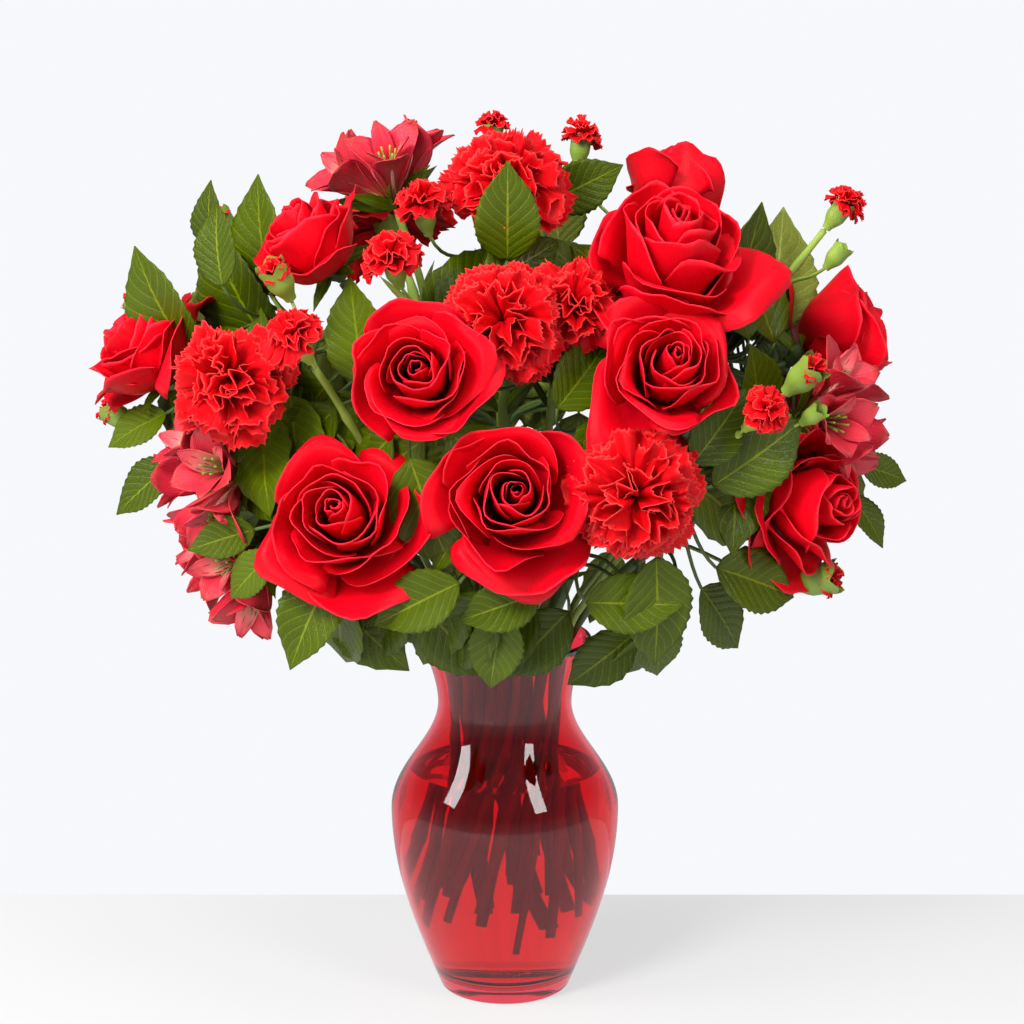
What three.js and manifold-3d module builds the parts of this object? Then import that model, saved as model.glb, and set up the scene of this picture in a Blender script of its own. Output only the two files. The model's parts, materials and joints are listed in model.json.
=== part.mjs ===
// A mixed bouquet with carnations in a glass ginger vase. Millimetres, +Z up.
// The origin is the middle of the vase's foot, and the front of the bouquet faces -Y.
import * as THREE from 'three';
import { mergeVertices } from 'three/addons/utils/BufferGeometryUtils.js';
import Module from 'manifold-3d';

const wasm = await Module();
wasm.setup();

// Driving dimensions of the vase: outside radii, and the heights that they are at.
const VASE = { height: 203, foot: 36, belly: 63.5, bellyAt: 105, neck: 37, neckAt: 166, lip: 48 };
const WALL = 3.2;
const FLOOR = 9;
const WATER_LEVEL = 128;
const VASE_SIDES = 24;
const WET_STEPS = 6;

// The flowers sit on a dome: half its width, half its depth, its rise, and its middle's height.
const DOME = { halfWidth: 195, halfDepth: 145, rise: 150, middle: VASE.height + 117 };

// The stems stand in rings at the neck and spread into wider rings at their feet, all turned
// the same way, as a hand-tied spiral is. The middle stems are cut shorter than the outer ones.
const RINGS = [
  { count: 1, neck: 0, foot: 4, lowest: 66 },
  { count: 5, neck: 10, foot: 13, lowest: 58 },
  { count: 10, neck: 19.5, foot: 27, lowest: 48 },
  { count: 14, neck: 29, foot: 42, lowest: 34 },
];
const SPIRAL_TWIST = 55;
const FOOT_STEP = 8;
const FOOT_HEIGHTS = 4;
const STEM_POINTS = 15;
const STEM_STEPS = 10;
const STEM_SIDES = 5;
const STEM_GAP = 0.9;
const PARTING_ROUNDS = 120;
const STALK_STEPS = 4;
const STALK_ROUNDS = 40;
// A twig leaves its stem this many points before the end, and sags this far on its way.
const TWIG_ROOT = 4;
const TWIG_SAG = 6;
// The gap left between pieces that touch, and the share of a piece that may be cut off it.
const CLEARANCE = 0.7;
const MOST_OFFCUT = 0.04;

const STEM_RADIUS = { rose: 2.8, carnation: 2.3, spray: 1.9, lily: 2.2, green: 1.9 };
const TWIG_RADIUS = 1.1;
const TWIG_SIDES = 3;
const CUP_SIDES = 6;
const LARGE_BLOOM = { from: 50, sides: 10 };
const SMALL_BLOOM_SIDES = 7;
const UMBEL = { florets: 5, diameter: 38, stalk: 40, spread: 0.85, setBack: 0.8, neck: 14 };
const APPROACH = 28;
// How a stem's first path runs: how far it widens at the mouth, how high it clears the neck and
// the lip, and how far it bows upward on its way out.
const MOUTH_SPREAD = 1.3;
const ABOVE_NECK = 2;
const ABOVE_LIP = 6;
const BOW = 8;
const WALL_GAP = 1.5;
// Stretches of stem further apart than this along X or Z can't touch.
const FAR_APART = 60;
// The radius that stems keep off a bloom, as a fraction of its diameter.
const BLOOM_GIRTH = 0.42;

// Flowers, placed by hand. heading turns from the front towards +X and lift rises from level, both in
// degrees at the dome's middle. reach is a fraction of the dome. face is where a bloom looks.
const roses = [
  { heading: -14, lift: 21, diameter: 82, face: [-5, 20] },
  { heading: 27, lift: 22, diameter: 82, face: [5, 30] },
  { heading: -26, lift: -7, diameter: 90, face: [-10, 25] },
  { heading: 1, lift: -2, diameter: 86, face: [0, 20] },
  { heading: 42, lift: 49, diameter: 98, face: [10, 60] },
  { heading: 125, lift: 55, reach: 1.05, diameter: 66, face: [160, 40] },
  { heading: 60, lift: -10, diameter: 79, face: [45, 5] },
  { heading: -58, lift: 50, diameter: 72, face: [-70, 50] },
  { heading: -85, lift: 18, reach: 1.08, diameter: 76, face: [-75, 45] },
  { heading: 98, lift: 18, reach: 1.05, diameter: 88, face: [100, 20] },
  { heading: 180, lift: 20, diameter: 84, face: [180, 25] },
];
const carnations = [
  { heading: 1, lift: 70, diameter: 74, face: [0, 50] },
  { heading: 0, lift: 36, reach: 0.86, diameter: 70, face: [0, 25] },
  { heading: -49, lift: 17, diameter: 72, face: [-30, 30] },
  { heading: 20, lift: -3, diameter: 76, face: [10, 10] },
  { heading: 18, lift: 43, reach: 0.8, diameter: 56, face: [15, 50] },
  { heading: -150, lift: 45, diameter: 74, face: [-150, 45] },
];
// Each spray is one branching stem. An open flower is a node of its own, a bud is on the stem.
const sprays = [
  [
    { heading: -102, lift: 22, reach: 1.16, diameter: 15 },
    { heading: -93, lift: 3, reach: 1.12, diameter: 15 },
  ],
  [
    { heading: -34, lift: 26, reach: 1.08, diameter: 38, open: true },
    { heading: -105, lift: 42, reach: 1.12, diameter: 16 },
    { heading: -42, lift: 37, reach: 1.12, diameter: 17 },
  ],
  [
    { heading: -170, lift: 80, reach: 1.1, diameter: 22, open: true },
    { heading: -25, lift: 60, reach: 1.02, diameter: 35, open: true },
    { heading: -25, lift: 46, diameter: 38, open: true },
  ],
  [
    { heading: 92, lift: 41, reach: 1.25, diameter: 26, open: true },
    { heading: 130, lift: 75, reach: 1.09, diameter: 26, open: true },
    { heading: 80, lift: 36, reach: 1.15, diameter: 12 },
  ],
  [
    { heading: 40, lift: 12, reach: 1.08, diameter: 31, open: true },
    { heading: 52, lift: 18, reach: 1.08, diameter: 18 },
    { heading: 66, lift: -25, reach: 1.08, diameter: 20 },
    { heading: 53, lift: 10, reach: 1.05, diameter: 11 },
  ],
];
const umbels = [
  { heading: -110, lift: 69, reach: 1.05 },
  { heading: -66, lift: -30, reach: 0.98 },
  { heading: -60, lift: -7, reach: 0.97 },
  { heading: 72, lift: 6, reach: 1.0 },
];
const greens = [
  { heading: -80, lift: 35, reach: 0.62 },
  { heading: 85, lift: 25, reach: 0.62 },
  { heading: -20, lift: -25, reach: 0.55 },
  { heading: 35, lift: -30, reach: 0.55 },
];
// Leaves, placed by hand, under the stem they grow on: each tip's heading, lift and reach on the dome, the
// length, the clock direction it points to as seen from outside, and its flare off the dome.
const leaves = {
  green_1: [[-92, 48, 1.2, 42, 0, 50], [-80, 34, 1.22, 68, 0, 60], [-68, 46, 1.18, 44, -25, 40],
    [-86, -3, 1.1, 38, 200, 60], [-82, -15, 1.12, 44, 200, 60]],
  green_2: [[112, 42, 1.14, 74, 0, 50], [95, 71, 1.0, 46, 180, 45], [85, -22, 1.14, 34, 190, 55],
    [90, -10, 1.14, 32, 120, 65], [54, 8, 0.98, 60, 60, 30], [130, 20, 1.05, 64, 60, 40]],
  green_3: [[-36, -36, 1.18, 58, 205, 55], [-22, -30, 1.04, 50, 250, 25], [-8, -30, 1.0, 44, 260, 20],
    [-3, -48, 1.05, 46, 190, 35], [-52, -16, 1.1, 36, 265, 60], [-48, -26, 1.08, 36, 230, 35]],
  green_4: [[30, -26, 1.04, 50, 80, 25], [27, -38, 1.1, 60, 175, 30], [36, -48, 1.04, 44, 160, 25],
    [60, -30, 1.04, 56, 100, 35], [54, -42, 1.05, 50, 130, 35], [44, 16, 0.94, 48, 45, 20]],
  rose_01: [[1, 62, 1.15, 54, 0, 76]],
  rose_05: [[30, 36, 0.68, 50, 50, 10]],
  rose_06: [[150, 35, 1.05, 60, 20, 30], [165, 62, 1.0, 56, 0, 30]],
  rose_11: [[160, -22, 1.05, 60, 150, 30], [-160, -28, 1.05, 60, 200, 30],
    [-140, 0, 1.05, 62, 270, 30], [140, -6, 1.05, 58, 90, 30]],
  carnation_6: [[-120, 28, 1.05, 58, 300, 30], [-172, 44, 1.0, 54, 60, 25]],
};
const LEAF_WIDTH = 0.62;
const LEAF_THICKNESS = 1;
const LEAF_STATIONS = [[0.32, 1], [0.7, 0.78]];
const LEAF_FOLD = 0.06;
// A leaf grows from the point of its stem nearest to this fraction of its tip's reach, and at
// least this far above the lip. Leaves in front of FACES_BACK look forward and the others back.
const LEAF_ROOT_REACH = 0.6;
const LEAF_LOWEST = 30;
const FACES_BACK = 20;

// Outlines of the blooms round their axis: radius and height, as fractions of the diameter.
const ROSE = [[0, -0.4], [0.14, -0.36], [0.38, -0.2], [0.5, 0.06], [0.42, 0.2], [0.18, 0.27], [0, 0.28]];
const CARNATION = [[0, -0.14], [0.3, -0.12], [0.49, 0.02], [0.46, 0.15], [0.28, 0.28], [0, 0.32]];
const FLORET = [[0, -0.75], [0.5, 0.1], [0, 0.02]];

const COLOUR = {
  rose: 0xb0101c, carnation: 0xd41a18, lily: 0xa01a2c, stem: 0x4f6b1c,
  glass: 0x8c0a14, water: 0xa03038,
};

const UP = new THREE.Vector3(0, 0, 1);
const group = new THREE.Group();
const placed = [];
const radians = THREE.MathUtils.degToRad;
const pad = (number) => String(number).padStart(2, '0');

function direction(heading, lift) {
  const [h, l] = [radians(heading), radians(lift)];
  return new THREE.Vector3(Math.sin(h) * Math.cos(l), -Math.cos(h) * Math.cos(l), Math.sin(l));
}

function onDome({ heading, lift, reach = 1 }) {
  return direction(heading, lift)
    .multiply(new THREE.Vector3(DOME.halfWidth, DOME.halfDepth, DOME.rise))
    .multiplyScalar(reach)
    .add(new THREE.Vector3(0, 0, DOME.middle));
}

function solidOf(geometry) {
  const bare = geometry.clone();
  bare.deleteAttribute('normal');
  bare.deleteAttribute('uv');
  const merged = mergeVertices(bare, 1e-3);
  return new wasm.Manifold(new wasm.Mesh({
    numProp: 3,
    vertProperties: merged.attributes.position.array,
    triVerts: new Uint32Array(merged.index.array),
  }));
}

function geometryOf(solid) {
  const mesh = solid.getMesh();
  const geometry = new THREE.BufferGeometry();
  geometry.setAttribute('position', new THREE.BufferAttribute(mesh.vertProperties, 3));
  geometry.setIndex(new THREE.BufferAttribute(mesh.triVerts, 1));
  geometry.computeVertexNormals();
  return geometry;
}

const join = (solids) => solids.reduce((whole, next) => whole.add(next));

// The largest body of a cut solid. Only offcuts may fall away, so losing more is an error.
function largest(name, solid) {
  const best = solid.decompose().reduce((a, b) => (b.volume() > a.volume() ? b : a));
  const lost = 1 - best.volume() / solid.volume();
  if (lost > MOST_OFFCUT) throw new Error(`${name} comes apart: ${Math.round(lost * 100)}% falls away`);
  return best;
}

function boxesMeet(a, b) {
  return [0, 1, 2].every((axis) => a.min[axis] <= b.max[axis] && b.min[axis] <= a.max[axis]);
}

// Adds one node. It gives way to every piece placed before it, and its own grown copy is what
// later pieces give way to.
function place(name, solid, grown, colour, roughness) {
  let kept = solid;
  for (const earlier of placed) {
    if (boxesMeet(kept.boundingBox(), earlier.boundingBox())) kept = kept.subtract(earlier);
  }
  const material = new THREE.MeshStandardMaterial({ color: colour, roughness, metalness: 0 });
  const mesh = new THREE.Mesh(geometryOf(largest(name, kept)), material);
  mesh.name = name;
  group.add(mesh);
  if (grown) placed.push(grown);
}

// The vase's outside radius: a quarter sine up to the belly, a half cosine in to the neck,
// and a power curve out to the lip.
function vaseRadius(z) {
  if (z <= VASE.bellyAt) {
    return VASE.foot + (VASE.belly - VASE.foot) * Math.sin((Math.PI / 2) * (z / VASE.bellyAt));
  }
  if (z <= VASE.neckAt) {
    const t = (z - VASE.bellyAt) / (VASE.neckAt - VASE.bellyAt);
    return VASE.neck + (VASE.belly - VASE.neck) * (1 + Math.cos(Math.PI * t)) / 2;
  }
  const t = (z - VASE.neckAt) / (VASE.height - VASE.neckAt);
  return VASE.neck + (VASE.lip - VASE.neck) * t ** 1.7;
}

// Points of the vase's wall from one height to another, moved in from the outside.
function wallPoints(from, to, steps, inset) {
  return Array.from({ length: steps + 1 }, (_, i) => {
    const z = from + ((to - from) * i) / steps;
    return new THREE.Vector2(vaseRadius(z) - inset, z);
  });
}

// A lathe stands along +Y, so it is turned to stand along +Z.
function lathe(points, sides) {
  return new THREE.LatheGeometry(points, sides).rotateX(Math.PI / 2);
}

function vaseSolid() {
  const outside = wallPoints(0, VASE.height, 10, 0);
  const wet = wallPoints(WATER_LEVEL, FLOOR, WET_STEPS, WALL);
  const inside = [...wallPoints(VASE.height, WATER_LEVEL, 4, WALL).slice(0, -1), ...wet];
  const middle = (z) => new THREE.Vector2(0, z);
  return solidOf(lathe([middle(0), ...outside, ...inside, middle(FLOOR)], VASE_SIDES));
}

function waterSolid(gap) {
  const side = wallPoints(FLOOR + gap, WATER_LEVEL, WET_STEPS, WALL + gap);
  const ends = [new THREE.Vector2(0, FLOOR + gap), new THREE.Vector2(0, WATER_LEVEL)];
  return solidOf(lathe([ends[0], ...side, ends[1]], VASE_SIDES));
}

// A solid of revolution whose axis points along face, grown outwards by grow.
function bloomSolid(outline, centre, face, diameter, sides, grow = 0) {
  const size = diameter + 2 * grow;
  const points = outline.map(([r, z]) => new THREE.Vector2(r * size, z * size));
  const turn = new THREE.Quaternion().setFromUnitVectors(UP, face);
  const geometry = lathe(points, sides).applyQuaternion(turn);
  return solidOf(geometry.translate(centre.x, centre.y, centre.z));
}

function tube(points, radius, steps, sides = STEM_SIDES) {
  const section = new THREE.Shape();
  for (let i = 0; i < sides; i += 1) {
    const angle = (2 * Math.PI * i) / sides;
    const corner = [radius * Math.cos(angle), radius * Math.sin(angle)];
    if (i === 0) section.moveTo(...corner);
    else section.lineTo(...corner);
  }
  const path = new THREE.CatmullRomCurve3(points, false, 'centripetal');
  return solidOf(new THREE.ExtrudeGeometry(section, { steps, extrudePath: path }));
}

// Where a flower's stem ends, and the point behind it that the stem comes through.
function stemEnd(centre, face, drop) {
  const end = centre.clone().addScaledVector(face, -drop);
  return { end, before: end.clone().addScaledVector(face, -APPROACH) };
}

// Gives each stem a place at the neck: the most upright in the middle, and in each ring
// in the order of their headings.
function assignSlots(stems) {
  const spread = (stem) => Math.hypot(stem.end.x, stem.end.y);
  const waiting = [...stems].sort((a, b) => spread(a) - spread(b));
  const heading = (stem) => Math.atan2(stem.end.y, stem.end.x);
  RINGS.forEach((ring) => {
    const members = waiting.splice(0, ring.count).sort((a, b) => heading(a) - heading(b));
    const pitch = (2 * Math.PI) / ring.count;
    const offsets = members.map((stem, i) => heading(stem) - i * pitch);
    const sum = (part) => offsets.reduce((total, offset) => total + part(offset), 0);
    const start = Math.atan2(sum(Math.sin), sum(Math.cos));
    members.forEach((stem, i) => {
      stem.ring = ring;
      stem.slot = start + i * pitch;
      stem.footHeight = ring.lowest + FOOT_STEP * (i % FOOT_HEIGHTS);
    });
  });
}

const polar = (radius, angle, z) => new THREE.Vector3(radius * Math.cos(angle), radius * Math.sin(angle), z);

function firstPath(stem) {
  const foot = polar(stem.ring.foot, stem.slot - radians(SPIRAL_TWIST), stem.footHeight);
  const neck = polar(stem.ring.neck, stem.slot, VASE.neckAt + ABOVE_NECK);
  const mouth = polar(stem.ring.neck * MOUTH_SPREAD, stem.slot, VASE.height + ABOVE_LIP);
  const middle = mouth.clone().lerp(stem.before, 0.5).addScaledVector(UP, BOW);
  const path = new THREE.CatmullRomCurve3(
    [foot, neck, mouth, middle, stem.before, stem.end], false, 'centripetal');
  return path.getSpacedPoints(STEM_POINTS - 1);
}

// The nearest points of two segments, as fractions along each.
function nearest(p, q, r, s) {
  const [d1, d2, w] = [q.clone().sub(p), s.clone().sub(r), p.clone().sub(r)];
  const [a, b, c, d, e] = [d1.dot(d1), d1.dot(d2), d2.dot(d2), d1.dot(w), d2.dot(w)];
  const clamp = (value) => Math.min(1, Math.max(0, value));
  const determinant = a * c - b * b;
  let t = determinant > 1e-9 ? clamp((b * e - c * d) / determinant) : 0;
  const u = clamp((b * t + e) / c);
  t = clamp((b * u - d) / a);
  return [t, u];
}

function pushApart(one, two, twoStays = false) {
  const least = one.radius + two.radius + STEM_GAP;
  for (let i = 0; i < one.path.length - 1; i += 1) {
    const [p, q] = [one.path[i], one.path[i + 1]];
    for (let j = 0; j < two.path.length - 1; j += 1) {
      const [r, s] = [two.path[j], two.path[j + 1]];
      if (Math.abs(p.z - r.z) > FAR_APART || Math.abs(p.x - r.x) > FAR_APART) continue;
      const [t, u] = nearest(p, q, r, s);
      const away = p.clone().lerp(q, t).sub(r.clone().lerp(s, u));
      const distance = away.length();
      if (distance >= least || distance < 1e-6) continue;
      const move = away.multiplyScalar((least - distance) / distance / (twoStays ? 1 : 2));
      shift(one, i, move, 1 - t);
      shift(one, i + 1, move, t);
      if (twoStays) continue;
      shift(two, j, move, u - 1);
      shift(two, j + 1, move, -u);
    }
  }
}

// Moves a point of a path, unless it is one that holds a flower or a stalk's root.
function shift(stem, index, move, share) {
  const free = index >= (stem.heldFirst ?? 0) && index < stem.path.length - stem.heldLast;
  if (free) stem.path[index].addScaledVector(move, share);
}

function keepInVase(stem) {
  for (const point of stem.path) {
    if (point.z > VASE.height + ABOVE_LIP) continue;
    const most = vaseRadius(Math.min(point.z, VASE.height)) - WALL - stem.radius - WALL_GAP;
    const radius = Math.hypot(point.x, point.y);
    if (radius > most) {
      point.x *= most / radius;
      point.y *= most / radius;
    }
  }
}

function keepOffBlooms(stem, blooms) {
  stem.path.forEach((point, index) => {
    for (const bloom of blooms) {
      if (bloom.owner === stem.name) continue;
      const away = point.clone().sub(bloom.centre);
      const least = bloom.diameter * BLOOM_GIRTH + stem.radius + STEM_GAP;
      if (away.length() < least) shift(stem, index, away.setLength(least - away.length()), 1);
    }
  });
}

function partStems() {
  for (let round = 0; round < PARTING_ROUNDS; round += 1) {
    stems.forEach((one, i) => stems.slice(i + 1).forEach((two) => pushApart(one, two)));
    for (const stem of stems) {
      keepOffBlooms(stem, heads);
      keepInVase(stem);
    }
  }
  // From here on a path has the points that its tube has, so that stalks root in the stem.
  for (const stem of stems) {
    const curve = new THREE.CatmullRomCurve3(stem.path, false, 'centripetal');
    stem.path = curve.getSpacedPoints(STEM_STEPS);
  }
}

// A side stalk's path from its stem to its end, bent clear of the other stems and flowers.
function stalkPath(owner, root, bend, end, passed) {
  const curve = new THREE.CatmullRomCurve3([root, bend, end], false, 'centripetal');
  const path = curve.getSpacedPoints(STALK_STEPS);
  const stalk = { name: owner, radius: TWIG_RADIUS + 0.4, path, heldFirst: 1, heldLast: 1 };
  for (let round = 0; round < STALK_ROUNDS; round += 1) {
    for (const stem of stems) if (stem.name !== owner) pushApart(stalk, stem, true);
    keepOffBlooms(stalk, passed);
  }
  return path;
}

// A thin leaf folded a little along its midrib, with a sharp edge all round.
function leafSolid(base, tip, grow = 0) {
  const along = tip.clone().sub(base);
  const length = along.length();
  along.normalize();
  const looks = new THREE.Vector3(tip.x, tip.y, 0).normalize().addScaledVector(UP, 0.5);
  looks.y += tip.y < FACES_BACK ? -1 : 1;
  const across = new THREE.Vector3().crossVectors(along, looks).normalize();
  const normal = new THREE.Vector3().crossVectors(across, along).normalize();
  const halfWidth = (length * LEAF_WIDTH) / 2 + grow;
  const points = [base.clone().addScaledVector(along, -grow), tip.clone().addScaledVector(along, grow)];
  for (const [t, breadth] of LEAF_STATIONS) {
    const middle = base.clone().lerp(tip, t);
    for (const side of [-1, 1]) {
      points.push(middle.clone().addScaledVector(across, side * halfWidth * breadth)
        .addScaledVector(normal, length * LEAF_FOLD * breadth));
    }
    for (const side of [1, -1]) {
      points.push(middle.clone().addScaledVector(normal, side * (LEAF_THICKNESS / 2 + grow)));
    }
  }
  const faces = [];
  const station = (i) => ({ left: 2 + 4 * i, right: 3 + 4 * i, top: 4 + 4 * i, under: 5 + 4 * i });
  const last = LEAF_STATIONS.length - 1;
  const quad = (a, b, c, d) => faces.push(a, b, c, a, c, d);
  const [first, end] = [station(0), station(last)];
  faces.push(0, first.top, first.left, 0, first.right, first.top);
  faces.push(0, first.left, first.under, 0, first.under, first.right);
  for (let i = 0; i < last; i += 1) {
    const [a, b] = [station(i), station(i + 1)];
    quad(a.left, a.top, b.top, b.left);
    quad(a.top, a.right, b.right, b.top);
    quad(a.left, b.left, b.under, a.under);
    quad(a.under, b.under, b.right, a.right);
  }
  faces.push(1, end.left, end.top, 1, end.top, end.right);
  faces.push(1, end.under, end.left, 1, end.right, end.under);
  const geometry = new THREE.BufferGeometry().setFromPoints(points);
  geometry.setIndex(faces);
  const solid = solidOf(geometry);
  return solid.volume() > 0 ? solid : solidOf(geometry.setIndex([...faces].reverse()));
}

// A direction on the dome: clock turns from straight up, seen from outside, and flare leans out.
function leafDirection(heading, lift, clock, flare) {
  const out = direction(heading, lift);
  const right = direction(heading + 90, 0);
  const up = direction(heading, lift + 90);
  return up.multiplyScalar(Math.cos(radians(clock)))
    .addScaledVector(right, Math.sin(radians(clock)))
    .multiplyScalar(Math.cos(radians(flare)))
    .addScaledVector(out, Math.sin(radians(flare)));
}

// Leaves with their stalks, each growing from the nearest point of the stem above the lip.
function leafSolids(name, path, grow) {
  return (leaves[name] ?? []).flatMap(([heading, lift, reach, length, clock, flare]) => {
    const tip = onDome({ heading, lift, reach });
    const inner = onDome({ heading, lift, reach: reach * LEAF_ROOT_REACH });
    const above = path.filter((point) => point.z > VASE.height + LEAF_LOWEST);
    const root = above.reduce((a, b) => (b.distanceTo(inner) < a.distanceTo(inner) ? b : a));
    const base = tip.clone().addScaledVector(leafDirection(heading, lift, clock, flare), -length);
    const rib = base.clone().lerp(tip, LEAF_STATIONS[0][0]);
    const route = stalkPath(name, root, root.clone().lerp(base, 0.5), base, allHeads);
    const stalk = tube([...route, rib], TWIG_RADIUS + grow, STALK_STEPS + 1, TWIG_SIDES);
    return [stalk, leafSolid(base, tip, grow)];
  });
}

// The green cup under a bloom, whose top meets the bloom's underside.
function cupSolid({ end, face, cup }, grow) {
  const [radius, length] = [cup.radius + grow, cup.length];
  const outline = [[0, -length], [radius, -length * 0.4], [radius * 0.9, 0], [0, 0]];
  return bloomSolid(outline, end, face, 1, CUP_SIDES);
}

function stemSolid(stem, grow) {
  const pieces = [tube(stem.path, stem.radius + grow, STEM_STEPS)];
  if (stem.cup) pieces.push(cupSolid(stem, grow));
  for (const twig of stem.twigs ?? []) {
    const root = stem.path[stem.path.length - TWIG_ROOT];
    const bend = root.clone().lerp(twig.end, 0.6).addScaledVector(twig.face, -TWIG_SAG);
    const route = stalkPath(stem.name, root, bend, twig.end, heads);
    pieces.push(tube(route, TWIG_RADIUS + grow, STALK_STEPS, TWIG_SIDES));
    pieces.push(cupSolid(twig, grow));
  }
  for (const bud of stem.buds ?? []) {
    pieces.push(bloomSolid(ROSE, bud.centre, bud.face, bud.diameter, 6, grow));
  }
  return join([...pieces, ...leafSolids(stem.name, stem.path, grow)]);
}

function flower(kind, name, spec, outline, drop, cup) {
  const centre = onDome(spec);
  const face = spec.face ? direction(...spec.face) : centre.clone()
    .sub(new THREE.Vector3(0, 0, VASE.height)).normalize();
  const { end, before } = stemEnd(centre, face, drop * spec.diameter + CLEARANCE / 2);
  return { kind, name, centre, face, end, before, cup, outline, diameter: spec.diameter, owner: name };
}

// An umbel: florets on short stalks that spread from the top of one stem.
function umbelSolid(stem, grow) {
  const side = new THREE.Vector3().crossVectors(stem.face, UP).normalize();
  const above = new THREE.Vector3().crossVectors(side, stem.face).normalize();
  const pieces = [];
  for (let i = 0; i < UMBEL.florets; i += 1) {
    const angle = (2 * Math.PI * i) / UMBEL.florets;
    const face = stem.face.clone().addScaledVector(side, UMBEL.spread * Math.cos(angle))
      .addScaledVector(above, UMBEL.spread * Math.sin(angle)).normalize();
    const root = stem.end.clone().addScaledVector(stem.face, CLEARANCE);
    const centre = root.clone().addScaledVector(face, UMBEL.stalk);
    const neck = centre.clone().addScaledVector(face, -UMBEL.neck);
    pieces.push(tube([root, neck], TWIG_RADIUS + grow, 1, TWIG_SIDES));
    pieces.push(bloomSolid(FLORET, centre, face, UMBEL.diameter, CUP_SIDES, grow));
  }
  return join(pieces);
}

const blooms = [
  ...roses.map((spec, i) => flower('rose', `rose_${pad(i + 1)}`, spec, ROSE, 0.4, { radius: 7, length: 9 })),
  ...carnations.map((spec, i) =>
    flower('carnation', `carnation_${i + 1}`, spec, CARNATION, 0.14, { radius: 7.5, length: 24 })),
];
const sprayStems = sprays.map((spray, i) => {
  const heads = spray.map((spec, j) => {
    const name = spec.open ? `spray_${i + 1}_flower_${j + 1}` : `spray_${i + 1}_bud_${j + 1}`;
    const outline = spec.open ? CARNATION : ROSE;
    const cup = { radius: Math.min(5.5, spec.diameter * 0.3), length: 16 };
    return { ...flower('spray', name, spec, outline, spec.open ? 0.14 : 0.2, cup), open: spec.open };
  });
  const [main, ...others] = heads;
  const buds = heads.filter((head) => !head.open);
  return { ...main, name: `spray_${i + 1}`, twigs: others, buds, heads };
});
const openSprays = sprayStems.flatMap((stem) =>
  stem.heads.filter((head) => head.open).map((head) => ({ ...head, owner: stem.name })));

// A stem with no single bloom: its end is set back from its place on the dome by back.
function plainStem(kind, name, spec, back) {
  const face = direction(spec.heading, spec.lift);
  const end = onDome(spec).addScaledVector(face, -back);
  return { kind, name, end, face, before: end.clone().addScaledVector(face, -APPROACH) };
}

const umbelStems = umbels.map((spec, i) =>
  plainStem('lily', `alstroemeria_${i + 1}`, spec, UMBEL.stalk * UMBEL.setBack));
const greenStems = greens.map((spec, i) => plainStem('green', `green_${i + 1}`, spec, 0));

const stems = [...blooms, ...sprayStems, ...umbelStems, ...greenStems];
// Everything that a stem or stalk has to pass by.
const heads = [
  ...blooms,
  ...sprayStems.flatMap((stem) => stem.heads.map((head) => ({ ...head, owner: stem.name }))),
  ...umbelStems.map((stem) => ({
    owner: stem.name,
    centre: stem.end.clone().addScaledVector(stem.face, UMBEL.stalk * UMBEL.setBack),
    diameter: UMBEL.stalk * 2,
  })),
];
for (const stem of stems) {
  stem.radius = STEM_RADIUS[stem.kind];
  stem.heldLast = 2;
}
// A leaf's stalk also passes by the flower of its own stem.
const allHeads = heads.map((head) => ({ ...head, owner: '' }));
assignSlots(stems);
for (const stem of stems) stem.path = firstPath(stem);
partStems();

place('vase', vaseSolid(), null, COLOUR.glass, 0.05);
for (const bloom of [...blooms, ...openSprays]) {
  const sides = bloom.diameter > LARGE_BLOOM.from ? LARGE_BLOOM.sides : SMALL_BLOOM_SIDES;
  const make = (grow) => bloomSolid(bloom.outline, bloom.centre, bloom.face, bloom.diameter, sides, grow);
  const name = bloom.kind === 'spray' ? bloom.name : `${bloom.name}_bloom`;
  place(name, make(0), make(CLEARANCE), COLOUR[bloom.kind] ?? COLOUR.carnation, 0.6);
}
for (const stem of umbelStems) {
  place(`${stem.name}_umbel`, umbelSolid(stem, 0), umbelSolid(stem, CLEARANCE), COLOUR.lily, 0.6);
}
for (const stem of stems) {
  place(`${stem.name}_stem`, stemSolid(stem, 0), stemSolid(stem, CLEARANCE), COLOUR.stem, 0.55);
}
place('water', waterSolid(CLEARANCE), null, COLOUR.water, 0.02);

export default group;
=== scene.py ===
"""A mixed bouquet with carnations in a red glass ginger vase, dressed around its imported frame."""
import json
import math

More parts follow.
